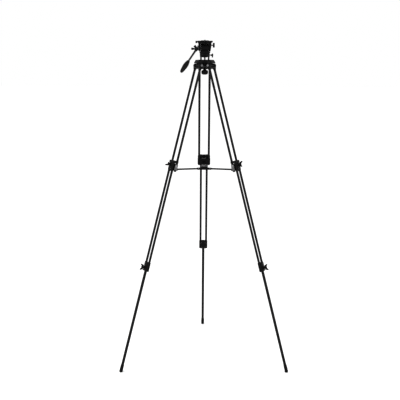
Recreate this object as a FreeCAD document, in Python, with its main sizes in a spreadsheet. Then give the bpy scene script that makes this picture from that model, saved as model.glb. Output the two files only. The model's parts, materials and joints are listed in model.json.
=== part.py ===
import FreeCAD, Part
import math
import os
from types import SimpleNamespace

import Sketcher

# A video tripod: three twin-tube legs in three stages, a mid-level spreader, a
# crown with a shallow levelling ball, and a pan and tilt head with a handle.
# Millimetres, +Z up.  The origin is on the floor, on the tripod's upright axis.

DRIVING_SIZES = {
    # fits between pieces
    "snug": 0.05,
    "running": 0.08,
    "apart": 0.3,
    # leg stance and the pivot each leg swings on
    "leg_spread": 15.93,
    "pivot_radius": 39.5,
    "pivot_height": 1620.0,
    "pivot_bolt_radius": 4.0,
    "bolt_head_radius": 7.0,
    "bolt_head_depth": 4.0,
    # tubes
    "tube_wall": 1.1,
    "upper_half_gap": 27.4,
    "upper_tube_radius": 6.0,
    "upper_tube_top": 6.5,
    "upper_tube_end": 577.0,
    "stage_offset": 11.3,
    "second_half_gap": 16.8,
    "second_tube_radius": 5.9,
    "second_tube_top": 523.5,
    "second_tube_end": 1124.0,
    "third_tube_radius": 7.4,
    "third_tube_top": 1080.0,
    "third_tube_end": 1674.0,
    # yoke at the top of a leg
    "ear_inner": 17.8,
    "ear_outer": 34.0,
    "ear_radius": 11.5,
    "yoke_depth": 15.0,
    "yoke_bar_top": 9.4,
    "yoke_bar_end": 16.0,
    "socket_radius": 7.4,
    "socket_end": 22.0,
    # bridge that ties the tops of the second tubes and slides on the upper tubes
    "bridge_top": 520.0,
    "bridge_end": 533.0,
    "bridge_sleeve_radius": 7.8,
    "bridge_plate_depth": 9.0,
    # collar half way down, where the second tubes slide
    "collar_top": 535.5,
    "collar_end": 574.0,
    "collar_sleeve_radius": 7.6,
    "collar_inner_face": 7.0,
    "collar_outer_face": 20.0,
    "collar_half_width": 24.0,
    "third_tube_passage": 7.9,
    # lug where a spreader arm meets the collar
    "lug_reach": 19.5,
    "lug_station": 563.0,
    "lug_radius": 7.5,
    "lug_half_width": 8.0,
    "slot_half_width": 2.6,
    # lower collar, where the third tube slides
    "lower_collar_top": 1080.0,
    "lower_collar_end": 1128.0,
    "lower_sleeve_radius": 7.6,
    "lower_collar_depth": 19.0,
    # wing knobs that clamp the stages
    "lock_station": 545.0,
    "lower_lock_station": 1110.0,
    "lock_boss_radius": 8.0,
    "lock_boss_height": 5.0,
    "lock_screw_radius": 3.0,
    "lock_screw_sink": 5.0,
    "lock_hub_radius": 7.0,
    "lock_hub_height": 11.0,
    "lower_lock_hub_height": 15.0,
    "wing_rise": 6.5,
    "wing_reach": 17.0,
    "wing_root": 9.0,
    "wing_thickness": 4.6,
    # foot
    "foot_radius": 9.0,
    "foot_ball_height": 7.5,
    "foot_top": 1646.0,
    "foot_neck_radius": 8.4,
    # spreader
    "hub_pin_radius": 39.0,
    "arm_droop": 1.8,
    "arm_width": 4.0,
    "arm_height": 8.0,
    "arm_eye_radius": 5.0,
    "leg_pin_radius": 2.5,
    "hub_stub_radius": 2.0,
    "hub_bar_half_width": 5.5,
    "hub_floor": 4.6,
    "hub_below": 6.0,
    "hub_above": 5.0,
    "hub_core_radius": 24.0,
    "hub_dome_radius": 8.0,
    "hub_dome_height": 10.0,
    "hub_slot_start": 17.0,
    "hub_floor_reach": 23.5,
    "hub_bar_reach": 42.4,
    "rivet_head_radius": 3.4,
    "rivet_head_height": 1.2,
    # crown casting
    "crown_top": 1650.0,
    "crown_shelf": 1634.0,
    "crown_disc_radius": 40.0,
    "crown_lobe_top_reach": 43.0,
    "crown_lobe_reach": 52.0,
    "crown_lobe_bottom": 1632.4,
    "crown_lobe_half_width": 23.0,
    "crown_eye_radius": 8.8,
    "crown_lug_half_width": 17.5,
    "crown_core_radius": 30.0,
    "crown_core_end": 1616.0,
    "crown_lug_end": 1611.2,
    "crown_bore_radius": 15.2,
    "post_radius": 23.5,
    "post_size": 6.0,
    "ring_bottom": 1667.0,
    "ring_top": 1671.0,
    "ring_radius": 26.5,
    "vial_radius": 6.0,
    "vial_height": 3.6,
    "vial_proud": 0.6,
    "vial_reach": 31.0,
    # levelling ball, its clamp and their common centre
    "ball_centre": 1700.0,
    "ball_radius": 38.0,
    "ball_rim_radius": 25.4,
    "ball_bottom": 1663.5,
    "ball_top": 1672.0,
    "seat_radius": 84.0,
    "washer_radius": 20.0,
    "washer_thickness": 3.7,
    "washer_pocket_radius": 29.0,
    "washer_slot_half": 7.8,
    "stud_radius": 4.0,
    "stud_top": 1670.0,
    "stud_end": 1578.0,
    "knob_neck_radius": 6.5,
    "knob_neck_top": 1611.5,
    "knob_top": 1600.0,
    "knob_bottom": 1573.0,
    "knob_radius": 18.0,
    "knob_lobe_radius": 4.6,
    "knob_lobe_reach": 15.6,
    # pan base and pan housing
    "pan_radius": 26.5,
    "pan_base_top": 1684.0,
    "pan_lock_height": 1675.5,
    "pan_lock_inner": 20.5,
    "pan_lock_stem_radius": 2.0,
    "pan_shaft_radius": 6.0,
    "pan_shaft_bottom": 1675.0,
    "pan_shaft_top": 1692.0,
    "flange_radius": 29.5,
    "flange_top": 1693.5,
    "tilt_height": 1712.0,
    "drum_radius": 22.3,
    "drum_half_length": 21.5,
    "drum_cavity_radius": 15.0,
    "drum_cavity_half": 16.0,
    "tilt_shaft_radius": 4.0,
    "tilt_shaft_half": 30.0,
    "disc_radius": 13.5,
    "disc_thickness": 2.0,
    "disc_step": 4.0,
    "spring_radius": 10.0,
    "spring_wire_radius": 1.5,
    "spring_pitch": 3.2,
    "spring_length": 12.8,
    # tilt cradle, platform and plate
    "cheek_inner": 22.0,
    "cheek_outer": 34.4,
    "cheek_radius": 17.5,
    "cheek_taper_top": 1722.0,
    "cheek_taper_bottom": 1693.0,
    "cheek_foot_half": 29.5,
    "cheek_half_depth": 17.0,
    "cradle_top": 1739.0,
    "cradle_bar_bottom": 1734.8,
    "cradle_bar_half_depth": 26.0,
    "platform_half_width": 40.0,
    "platform_foot_half": 35.5,
    "platform_edge": 1745.0,
    "platform_half_length": 38.0,
    "platform_top": 1748.0,
    "channel_bottom": 1742.0,
    "plate_flange_half": 25.0,
    "plate_half_width": 21.5,
    "plate_half_length": 45.0,
    "plate_flange_top": 1745.3,
    "plate_top": 1749.0,
    "pad_top": 1750.0,
    "pad_half_width": 19.0,
    "pad_length": 32.0,
    "pad_offset": 24.0,
    "camera_thread_radius": 3.175,
    "camera_thread_top": 1755.5,
    "camera_neck_radius": 2.5,
    "camera_screw_bottom": 1743.4,
    "camera_head_radius": 7.0,
    "camera_head_top": 1745.4,
    # small controls on the head
    "tilt_lock_height": 1727.0,
    "tilt_lock_inner": 28.0,
    "tilt_lock_stem_radius": 2.5,
    "tilt_lock_disc_start": 43.0,
    "tilt_lock_disc_end": 52.0,
    "tilt_lock_disc_radius": 12.0,
    "plate_lock_height": 1743.7,
    "plate_lock_reach": 49.6,
    "plate_lock_radius": 6.0,
    "catch_reach": 41.4,
    "catch_inner": 33.5,
    "catch_length": 10.0,
    "catch_height": 5.0,
    "catch_place": 20.0,
    # handle
    "handle_root_x": -47.0,
    "handle_root_y": 4.0,
    "handle_root_z": 1702.5,
    "handle_swing": 19.0,
    "handle_drop": 23.5,
    "rosette_radius": 13.0,
    "rosette_outer": 40.0,
    "holder_radius": 8.0,
    "holder_back": 4.0,
    "holder_front": 10.0,
    "clamp_bar_width": 19.0,
    "clamp_bar_length": 26.0,
    "clamp_bar_thickness": 12.0,
    "clamp_bar_lean": 36.0,
    "rod_radius": 5.0,
    "rod_end": 170.0,
    "grip_start": 139.0,
    "grip_length": 144.0,
    "grip_neck_radius": 7.0,
    "grip_radius": 13.5,
    "grip_end_radius": 7.5,
    "clamp_height": 1708.0,
    "clamp_place": -5.0,
    "clamp_tip": 50.8,
    "clamp_reach": 72.0,
    "clamp_knob_radius": 5.6,
    "clamp_knob_length": 12.0,
}

LEGS = {"left": 210.0, "right": 330.0, "rear": 90.0}

os.makedirs("parts", exist_ok=True)
doc = FreeCAD.newDocument("video_tripod")
sheet = doc.addObject("Spreadsheet::Sheet", "dims")


class Measure:
    """A length or angle with the sheet formula that gives it."""

    def __init__(self, value, formula):
        self.value = value
        self.formula = formula

    def __add__(self, other):
        other = as_measure(other)
        return Measure(self.value + other.value, f"({self.formula} + {other.formula})")

    def __sub__(self, other):
        other = as_measure(other)
        return Measure(self.value - other.value, f"({self.formula} - {other.formula})")

    def __mul__(self, other):
        other = as_measure(other)
        return Measure(self.value * other.value, f"({self.formula} * {other.formula})")

    def __truediv__(self, other):
        other = as_measure(other)
        return Measure(self.value / other.value, f"({self.formula} / {other.formula})")

    def __neg__(self):
        return Measure(-self.value, f"(0 - {self.formula})")

    __radd__ = __add__
    __rmul__ = __mul__

    def __rsub__(self, other):
        return as_measure(other) - self


def as_measure(number):
    """A Measure as it is, or a plain number as a Measure."""
    if isinstance(number, Measure):
        return number
    return Measure(float(number), f"({float(number)!r})")


def cosine(angle):
    return Measure(math.cos(math.radians(angle.value)), f"cos({angle.formula} * 1deg)")


def sine(angle):
    return Measure(math.sin(math.radians(angle.value)), f"sin({angle.formula} * 1deg)")


def filled_sheet(sizes):
    """Puts every driving size in the sheet and returns them as Measures."""
    measures = {}
    for row, (alias, number) in enumerate(sizes.items(), start=1):
        sheet.set(f"A{row}", alias)
        sheet.set(f"B{row}", str(number))
        sheet.setAlias(f"B{row}", alias)
        measures[alias] = Measure(number, f"dims.{alias}")
    doc.recompute()
    return SimpleNamespace(**measures)


d = filled_sheet(DRIVING_SIZES)

# ---------------------------------------------------------------- building blocks

TURN_TO_AXIS = {
    "z": FreeCAD.Rotation(),
    "x": FreeCAD.Rotation(FreeCAD.Vector(0, 1, 0), 90),
    "y": FreeCAD.Rotation(FreeCAD.Vector(1, 0, 0), -90),
}


def bind(item, name, size):
    """Ties one property of an object to its formula."""
    item.setExpression(name, as_measure(size).formula)


def put(item, at, rotation=FreeCAD.Rotation()):
    """Places an object at a bound point, turned by a rotation."""
    item.Placement = FreeCAD.Placement(FreeCAD.Vector(), rotation)
    for axis, size in zip("xyz", at):
        bind(item, f".Placement.Base.{axis}", size)
    return item


def box(length, width, height, centre):
    """A box about its centre point."""
    item = doc.addObject("Part::Box", "block")
    bind(item, "Length", length)
    bind(item, "Width", width)
    bind(item, "Height", height)
    corner = [as_measure(c) - as_measure(s) / 2 for c, s in zip(centre, (length, width, height))]
    return put(item, corner)


def soft_box(length, width, height, centre, radius):
    """A box with every edge rounded."""
    inner = box(length, width, height, centre)
    item = doc.addObject("Part::Fillet", "soft_block")
    item.Base = inner
    item.Edges = [(edge, radius, radius) for edge in range(1, 13)]
    return item


def cylinder(radius, start, end, at=(0, 0), axis="z"):
    """A cylinder between two stations along an axis; at holds the other two coordinates."""
    item = doc.addObject("Part::Cylinder", "round_bar")
    bind(item, "Radius", radius)
    bind(item, "Height", as_measure(end) - as_measure(start))
    points = {"z": (at[0], at[1], start), "x": (start, at[0], at[1]), "y": (at[0], start, at[1])}
    return put(item, points[axis], TURN_TO_AXIS[axis])


def ball(radius, at):
    item = doc.addObject("Part::Sphere", "ball")
    bind(item, "Radius", radius)
    return put(item, at)


def fuse(items):
    item = doc.addObject("Part::MultiFuse", "joined")
    item.Shapes = items
    item.Refine = True
    return item


def cut(base, tools):
    """The base with each tool taken away."""
    item = doc.addObject("Part::Cut", "trimmed")
    item.Base = base
    item.Tool = tools[0] if len(tools) == 1 else fuse(tools)
    return item


def common(first, second):
    item = doc.addObject("Part::Common", "shared")
    item.Base = first
    item.Tool = second
    return item


def group(items):
    """Separate solids in one sub-part."""
    item = doc.addObject("Part::Compound", "group")
    item.Links = items
    return item


def origin_plane(body, role):
    return next(f for f in body.Origin.OriginFeatures if f.Role == role)


def sketch_on(body, role):
    sketch = body.newObject("Sketcher::SketchObject", "outline")
    sketch.AttachmentSupport = [(origin_plane(body, role), "")]
    sketch.MapMode = "FlatFace"
    return sketch


def draw_outline(sketch, points, bulges=None):
    """Draws a closed outline; bulges gives, by side number, an arc's middle point."""
    bulges = bulges or {}
    places = [(as_measure(x), as_measure(y)) for x, y in points]
    flat = [FreeCAD.Vector(x.value, y.value, 0) for x, y in places]
    count = len(flat)
    for side in range(count):
        first, last = flat[side], flat[(side + 1) % count]
        if side in bulges:
            middle = FreeCAD.Vector(*[as_measure(c).value for c in bulges[side]], 0)
            sketch.addGeometry(Part.Arc(first, middle, last), False)
        else:
            sketch.addGeometry(Part.LineSegment(first, last), False)
    ends = [side_ends(sketch, side, flat[side]) for side in range(count)]
    for side in range(count):
        following = (side + 1) % count
        joint = (side, ends[side][1], following, ends[following][0])
        sketch.addConstraint(Sketcher.Constraint("Coincident", *joint))
    for side, (x, y) in enumerate(places):
        for kind, size in (("DistanceX", x), ("DistanceY", y)):
            rule = (kind, -1, 1, side, ends[side][0], size.value)
            number = sketch.addConstraint(Sketcher.Constraint(*rule))
            sketch.setExpression(f"Constraints[{number}]", size.formula)


def side_ends(sketch, side, first):
    """The start and end point numbers of a side, in the outline's direction."""
    piece = sketch.Geometry[side]
    forward = (piece.StartPoint - first).Length < (piece.EndPoint - first).Length
    return (1, 2) if forward else (2, 1)


def turned(points, bulges=None):
    """A solid of revolution about Z from (radius, height) points."""
    body = doc.addObject("PartDesign::Body", "turned")
    sketch = sketch_on(body, "XZ_Plane")
    draw_outline(sketch, points, bulges)
    spin = body.newObject("PartDesign::Revolution", "spin")
    spin.Profile = sketch
    spin.ReferenceAxis = (sketch, ["V_Axis"])
    spin.Angle = 360
    return body


def plate(points, thickness, bulges=None):
    """A flat piece: an outline in the XZ plane, as thick along Y, half each way."""
    body = doc.addObject("PartDesign::Body", "plate")
    sketch = sketch_on(body, "XZ_Plane")
    draw_outline(sketch, points, bulges)
    pad = body.newObject("PartDesign::Pad", "thickness")
    pad.Profile = sketch
    bind(pad, "Length", thickness)
    pad.SideType = "Symmetric"
    return body


nodes = []


def sub_part(name, item, placement=None):
    """Names an object as a sub-part and puts it in its place."""
    item.Label = name
    if placement is not None:
        item.Placement = placement
    nodes.append(item)
    return item


# ------------------------------------------------------------------------- legs
# A leg is drawn in its own frame: pivot at the origin, tubes hanging along -Z,
# X away from the tripod's axis, Y along the pivot bolt.


def upright_frame(azimuth, radius, height):
    turn = FreeCAD.Rotation(FreeCAD.Vector(0, 0, 1), azimuth)
    out = turn.multVec(FreeCAD.Vector(radius, 0, 0))
    return FreeCAD.Placement(FreeCAD.Vector(out.x, out.y, height), turn)


def leg_frame(azimuth):
    upright = upright_frame(azimuth, d.pivot_radius.value, d.pivot_height.value)
    lean = FreeCAD.Rotation(FreeCAD.Vector(0, 1, 0), -d.leg_spread.value)
    return upright.multiply(FreeCAD.Placement(FreeCAD.Vector(), lean))


def both(half_gap):
    """A distance to each side of the middle."""
    return (-half_gap, half_gap)


def tube(radius, top, end, at):
    outer = cylinder(radius, -end, -top, at)
    inner = cylinder(radius - d.tube_wall, -end - 1, -top + 1, at)
    return cut(outer, [inner])


def leg_yoke():
    """Two knuckles round the pivot bolt, tied by a bar, with a tube socket in each."""
    bar_height = d.yoke_bar_end - d.yoke_bar_top
    bar_middle = -(d.yoke_bar_top + d.yoke_bar_end) / 2
    ear_width = d.ear_outer - d.ear_inner
    ear_middle = (d.ear_outer + d.ear_inner) / 2
    solids = [
        box(d.yoke_depth, d.upper_half_gap * 2, bar_height, (0, 0, bar_middle)),
    ]
    for side, middle in zip(both(d.upper_half_gap), both(ear_middle)):
        solids.append(cylinder(d.socket_radius, -d.socket_end, -d.yoke_bar_top + 2, (0, side)))
        solids.append(box(d.yoke_depth, ear_width, d.yoke_bar_end, (0, middle, -d.yoke_bar_end / 2)))
        knuckle = cylinder(d.ear_radius, middle - ear_width / 2, middle + ear_width / 2, (0, 0), "y")
        solids.append(knuckle)
    bolt_hole = cylinder(d.pivot_bolt_radius + d.running, -d.ear_outer - 1, d.ear_outer + 1, axis="y")
    tube_holes = [
        cylinder(d.upper_tube_radius + d.snug, -d.socket_end - 1, -d.upper_tube_top, (0, side))
        for side in both(d.upper_half_gap)
    ]
    return cut(fuse(solids), [bolt_hole] + tube_holes)


def leg_upper_tubes():
    return group([
        tube(d.upper_tube_radius, d.upper_tube_top, d.upper_tube_end, (0, side))
        for side in both(d.upper_half_gap)
    ])


def leg_mid_collar():
    height = d.collar_end - d.collar_top
    middle = -(d.collar_top + d.collar_end) / 2
    depth = d.collar_inner_face + d.collar_outer_face
    solids = [
        box(depth, d.second_half_gap * 2, height - 2,
            ((d.collar_outer_face - d.collar_inner_face) / 2, 0, middle)),
        box(d.collar_inner_face + d.stage_offset, d.collar_half_width * 2, height - 2,
            ((d.stage_offset - d.collar_inner_face) / 2, 0, middle)),
        cylinder(d.lock_boss_radius, d.collar_outer_face - 3,
                 d.collar_outer_face + d.lock_boss_height, (0, -d.lock_station), "x"),
        box(d.lug_reach, d.lug_half_width * 2, d.lug_radius * 2,
            (-d.lug_reach / 2, 0, -d.lug_station)),
        cylinder(d.lug_radius, -d.lug_half_width, d.lug_half_width,
                 (-d.lug_reach, -d.lug_station), "y"),
    ]
    holes = [
        cylinder(d.third_tube_passage, -d.collar_end - 1, -d.collar_top + 1, (d.stage_offset, 0)),
        box(d.lug_reach + 4, d.slot_half_width * 2, d.lug_radius * 4,
            (-d.collar_inner_face - d.lug_reach / 2 - 2, 0, -d.lug_station)),
        cylinder(d.leg_pin_radius + d.running, -d.lug_half_width - 1, d.lug_half_width + 1,
                 (-d.lug_reach, -d.lug_station), "y"),
        cylinder(d.lock_screw_radius + d.running, d.collar_outer_face - 1,
                 d.collar_outer_face + d.lock_boss_height + 1, (0, -d.lock_station), "x"),
    ]
    for side, near in zip(both(d.upper_half_gap), both(d.second_half_gap)):
        solids.append(cylinder(d.collar_sleeve_radius, -d.collar_end, -d.collar_top, (0, side)))
        solids.append(cylinder(d.second_tube_radius + 1.6, -d.collar_end + 1, -d.collar_top - 1,
                               (d.stage_offset, near)))
        holes.append(cylinder(d.upper_tube_radius + d.snug, -d.collar_end - 1,
                              -d.collar_top + 1, (0, side)))
        holes.append(cylinder(d.second_tube_radius + d.running, -d.collar_end - 1,
                              -d.collar_top + 1, (d.stage_offset, near)))
    return cut(fuse(solids), holes)


def wing_knob(turn, hub_height):
    """A clamp screw with two flared wings; its axis is Z, its face at the origin."""
    hub_start = d.lock_boss_height + d.apart
    hub_end = hub_start + hub_height
    hub = turned([
        (0, -d.lock_screw_sink + d.lock_boss_height),
        (d.lock_screw_radius, -d.lock_screw_sink + d.lock_boss_height),
        (d.lock_screw_radius, hub_start),
        (d.lock_hub_radius - 1, hub_start),
        (d.lock_hub_radius, hub_start + 1),
        (d.lock_hub_radius, hub_end - 2),
        (d.lock_hub_radius - 2, hub_end),
        (0, hub_end),
    ])
    wings = plate([
        (-d.wing_reach, hub_end + d.wing_rise),
        (-d.wing_reach + 5, hub_end - d.wing_root),
        (d.wing_reach - 5, hub_end - d.wing_root),
        (d.wing_reach, hub_end + d.wing_rise),
        (d.wing_reach - 6, hub_end + d.wing_rise),
        (4, hub_end - 2),
        (-4, hub_end - 2),
        (-d.wing_reach + 6, hub_end + d.wing_rise),
    ], d.wing_thickness)
    knob = fuse([hub, wings])
    return knob, FreeCAD.Placement(FreeCAD.Vector(), FreeCAD.Rotation(FreeCAD.Vector(0, 0, 1), turn))


def knob_on_leg(frame, face, station):
    """The frame of a knob that points out of a leg at a station along it."""
    turn = FreeCAD.Rotation(FreeCAD.Vector(0, 1, 0), 90)
    place = FreeCAD.Placement(FreeCAD.Vector(face.value, 0, -station.value), turn)
    return frame.multiply(place)


def leg_slide_bridge():
    height = d.bridge_end - d.bridge_top
    middle = -(d.bridge_top + d.bridge_end) / 2
    plate_middle = d.stage_offset + 0.8
    solids = [
        box(d.bridge_plate_depth, d.upper_half_gap * 2, height, (plate_middle, 0, middle)),
    ]
    holes = []
    for side, near in zip(both(d.upper_half_gap), both(d.second_half_gap)):
        solids.append(cylinder(d.bridge_sleeve_radius, -d.bridge_end, -d.bridge_top, (0, side)))
        solids.append(cylinder(d.bridge_sleeve_radius, -d.bridge_end, -d.bridge_top,
                               (d.stage_offset, near)))
        holes.append(cylinder(d.upper_tube_radius + d.running, -d.bridge_end - 1,
                              -d.bridge_top + 1, (0, side)))
        holes.append(cylinder(d.second_tube_radius + d.snug, -d.bridge_end - 1,
                              -d.second_tube_top, (d.stage_offset, near)))
    return cut(fuse(solids), holes)


def leg_second_tubes():
    return group([
        tube(d.second_tube_radius, d.second_tube_top, d.second_tube_end, (d.stage_offset, side))
        for side in both(d.second_half_gap)
    ])


def leg_lower_collar():
    height = d.lower_collar_end - d.lower_collar_top
    middle = -(d.lower_collar_top + d.lower_collar_end) / 2
    face = d.stage_offset + d.lower_collar_depth / 2
    solids = [
        box(d.lower_collar_depth, d.second_half_gap * 2, height, (d.stage_offset, 0, middle)),
        cylinder(d.lock_boss_radius, face - 2, face + d.lock_boss_height,
                 (0, -d.lower_lock_station), "x"),
    ]
    holes = [
        cylinder(d.third_tube_radius + d.running, -d.lower_collar_end - 1,
                 -d.lower_collar_top + 1, (d.stage_offset, 0)),
        cylinder(d.lock_screw_radius + d.running, face - 1, face + d.lock_boss_height + 1,
                 (0, -d.lower_lock_station), "x"),
    ]
    for side in both(d.second_half_gap):
        solids.append(cylinder(d.lower_sleeve_radius, -d.lower_collar_end, -d.lower_collar_top,
                               (d.stage_offset, side)))
        holes.append(cylinder(d.second_tube_radius + d.snug, -d.second_tube_end,
                              -d.lower_collar_top + 1, (d.stage_offset, side)))
    return cut(fuse(solids), holes)


def leg_foot(frame):
    """A rubber foot on the third tube, flattened where it stands on the floor."""
    rise = d.pivot_height + d.stage_offset * sine(d.leg_spread) - d.foot_ball_height
    ball_station = rise / cosine(d.leg_spread)
    skirt = d.foot_radius - 0.4
    solid = fuse([
        cylinder(d.foot_neck_radius, -ball_station, -d.foot_top, (d.stage_offset, 0)),
        cylinder(skirt, -ball_station, -d.foot_top - 8, (d.stage_offset, 0)),
        ball(d.foot_radius, (d.stage_offset, 0, -ball_station)),
    ])
    hole = cylinder(d.third_tube_radius + d.snug, -d.third_tube_end, -d.foot_top + 1,
                    (d.stage_offset, 0))
    floor = box(2000, 2000, 100, (0, 0, -50))
    holder = group([floor])
    holder.Placement = frame.inverse()
    return cut(solid, [hole, holder])


def build_leg(name, azimuth, mid_turn, low_turn):
    frame = leg_frame(azimuth)
    sub_part(f"leg_{name}_yoke", leg_yoke(), frame)
    sub_part(f"leg_{name}_upper_tubes", leg_upper_tubes(), frame)
    sub_part(f"leg_{name}_mid_collar", leg_mid_collar(), frame)
    sub_part(f"leg_{name}_slide_bridge", leg_slide_bridge(), frame)
    sub_part(f"leg_{name}_second_tubes", leg_second_tubes(), frame)
    sub_part(f"leg_{name}_lower_collar", leg_lower_collar(), frame)
    third = tube(d.third_tube_radius, d.third_tube_top, d.third_tube_end, (d.stage_offset, 0))
    sub_part(f"leg_{name}_third_tube", third, frame)
    sub_part(f"leg_{name}_foot", leg_foot(frame), frame)
    lower_face = d.stage_offset + d.lower_collar_depth / 2
    locks = (
        ("mid_lock", d.collar_outer_face, d.lock_station, mid_turn, d.lock_hub_height),
        ("lower_lock", lower_face, d.lower_lock_station, low_turn, d.lower_lock_hub_height),
    )
    for lock, face, station, turn, hub_height in locks:
        knob, spin = wing_knob(turn, hub_height)
        sub_part(f"leg_{name}_{lock}", knob, knob_on_leg(frame, face, station).multiply(spin))


# --------------------------------------------------------------------- spreader


def lug_radius_and_height():
    """Where an arm's leg pin stands, from the tripod's axis and from the floor."""
    out = d.pivot_radius - d.lug_reach * cosine(d.leg_spread) + d.lug_station * sine(d.leg_spread)
    up = d.pivot_height - d.lug_reach * sine(d.leg_spread) - d.lug_station * cosine(d.leg_spread)
    return out, up


def arm_length():
    out, _ = lug_radius_and_height()
    return (out - d.hub_pin_radius) / cosine(d.arm_droop)


def spreader_arm():
    """A flat bar on edge: leg pin at the origin, hub stub along -X."""
    length = arm_length()
    half = d.arm_width / 2
    bar = fuse([
        box(length, d.arm_width, d.arm_height, (-length / 2, 0, 0)),
        cylinder(d.arm_eye_radius, -half, half, (0, 0), "y"),
        cylinder(d.arm_height / 2, -half, half, (-length, 0), "y"),
    ])
    holes = [
        cylinder(d.leg_pin_radius + d.snug, -half - 1, half + 1, (0, 0), "y"),
        cylinder(d.hub_stub_radius + d.snug, -half - 1, half + 1, (-length, 0), "y"),
    ]
    head = d.lug_half_width + d.apart
    leg_pin = fuse([
        cylinder(d.leg_pin_radius, -head - 1.5, head + 1.5, (0, 0), "y"),
        cylinder(d.leg_pin_radius + 1.5, head, head + 1.5, (0, 0), "y"),
        cylinder(d.leg_pin_radius + 1.5, -head - 1.5, -head, (0, 0), "y"),
    ])
    reach = d.slot_half_width - d.apart
    stub = cylinder(d.hub_stub_radius, -reach, reach, (-length, 0), "y")
    return group([cut(bar, holes), leg_pin, stub])


def arm_frame(azimuth):
    out, up = lug_radius_and_height()
    droop = FreeCAD.Rotation(FreeCAD.Vector(0, 1, 0), -d.arm_droop.value)
    upright = upright_frame(azimuth, out.value, up.value)
    return upright.multiply(FreeCAD.Placement(FreeCAD.Vector(), droop))


def hub_height():
    _, up = lug_radius_and_height()
    return up - arm_length() * sine(d.arm_droop)


def turned_about_axis(item, azimuth):
    """A copy holder that turns an object about the tripod's axis."""
    holder = group([item])
    holder.Placement = FreeCAD.Placement(
        FreeCAD.Vector(), FreeCAD.Rotation(FreeCAD.Vector(0, 0, 1), azimuth)
    )
    return holder


def spreader_hub():
    """A domed core with three forks; each fork is open upwards for its arm."""
    pin = hub_height()
    bottom = pin - d.hub_below
    top = pin + d.hub_above
    reach = d.hub_bar_reach
    dome = turned([
        (0, bottom),
        (d.hub_core_radius, bottom),
        (d.hub_core_radius, pin + 2),
        (d.hub_core_radius - 4, pin + 4.5),
        (d.hub_dome_radius + 4, pin + d.hub_dome_height - 2),
        (d.hub_dome_radius, pin + d.hub_dome_height),
        (0, pin + d.hub_dome_height),
    ])
    solids = [dome]
    holes = []
    for azimuth in LEGS.values():
        bar = box(reach, d.hub_bar_half_width * 2, top - bottom, (reach / 2, 0, (top + bottom) / 2))
        slot = box(reach, d.slot_half_width * 2, d.hub_floor + 20,
                   (d.hub_slot_start + reach / 2, 0, pin + 10 - d.hub_floor / 2))
        opening = box(reach, d.slot_half_width * 2, d.hub_below * 2 + 2,
                      (d.hub_floor_reach + reach / 2, 0, pin - d.hub_below))
        solids.append(turned_about_axis(bar, azimuth))
        holes.append(turned_about_axis(slot, azimuth))
        holes.append(turned_about_axis(opening, azimuth))
    return cut(fuse(solids), holes)


def hub_rivets():
    """The rivet heads on the outer faces of the hub's bars."""
    heads = []
    for azimuth in LEGS.values():
        for side in (-1, 1):
            face = d.hub_bar_half_width * side
            low, high = sorted((face, face + d.rivet_head_height * side), key=lambda m: m.value)
            head = cylinder(d.rivet_head_radius, low, high, (d.hub_pin_radius, hub_height()), "y")
            heads.append(turned_about_axis(head, azimuth))
    return group(heads)


# ------------------------------------------------------------ crown and levelling


def crown_casting():
    solids = [
        cylinder(d.crown_disc_radius, d.crown_shelf, d.crown_top),
        cylinder(d.crown_core_radius, d.crown_core_end, d.crown_top - 1),
        cylinder(d.ring_radius, d.ring_bottom, d.ring_top),
    ]
    holes = [
        cylinder(d.crown_bore_radius, d.crown_lug_end, d.crown_top + 1),
        ball(d.ball_radius + d.apart, (0, 0, d.ball_centre)),
        cut(cylinder(d.washer_pocket_radius, d.crown_lug_end - 5, d.crown_core_end + 8),
            [ball(d.seat_radius, (0, 0, d.ball_centre))]),
        vial_pocket(),
    ]
    lug_inner = d.crown_core_radius
    for azimuth in LEGS.values():
        lobe = plate([
            (10, d.crown_top),
            (10, d.crown_lobe_bottom),
            (d.crown_lobe_reach, d.crown_lobe_bottom),
            (d.crown_lobe_reach, d.crown_lobe_bottom + 4),
            (d.crown_lobe_top_reach, d.crown_top),
        ], d.crown_lobe_half_width * 2)
        lug_height = d.crown_shelf - d.crown_lug_end + 2
        lug = box(d.pivot_radius - lug_inner, d.crown_lug_half_width * 2, lug_height,
                  ((d.pivot_radius + lug_inner) / 2, 0, d.crown_lug_end + lug_height / 2))
        web_height = d.crown_shelf - d.crown_core_end + 2
        web = box(d.pivot_radius, d.crown_lug_half_width * 2, web_height,
                  (d.pivot_radius / 2, 0, d.crown_core_end + web_height / 2))
        eye = cylinder(d.crown_eye_radius, -d.crown_lug_half_width, d.crown_lug_half_width,
                       (d.pivot_radius, d.pivot_height), "y")
        post_height = d.ring_bottom - d.crown_top + 3
        post = box(d.post_size, d.post_size, post_height,
                   (d.post_radius, 0, d.crown_top - 1 + post_height / 2))
        bolt_hole = cylinder(d.pivot_bolt_radius + d.snug, -d.crown_lug_half_width - 1,
                             d.crown_lug_half_width + 1, (d.pivot_radius, d.pivot_height), "y")
        for solid in (lobe, lug, web, eye, post):
            solids.append(turned_about_axis(solid, azimuth))
        holes.append(turned_about_axis(bolt_hole, azimuth))
    return cut(fuse(solids), holes)


def leg_pivot_bolts():
    bolts = []
    head_start = d.ear_outer + d.apart
    head_end = head_start + d.bolt_head_depth
    for azimuth in LEGS.values():
        at = (d.pivot_radius, d.pivot_height)
        bolt = fuse([
            cylinder(d.pivot_bolt_radius, -head_end, head_end, at, "y"),
            cylinder(d.bolt_head_radius, head_start, head_end, at, "y"),
            cylinder(d.bolt_head_radius, -head_end, -head_start, at, "y"),
        ])
        bolts.append(turned_about_axis(bolt, azimuth))
    return group(bolts)


def vial_place():
    """The middle of the bubble vial: on the crown, between the right and rear legs."""
    return d.vial_reach * math.cos(math.radians(30)), d.vial_reach * math.sin(math.radians(30))


def vial_pocket():
    depth = d.vial_height - d.vial_proud
    return cylinder(d.vial_radius + d.snug, d.crown_top - depth, d.crown_top + 1, vial_place())


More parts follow.
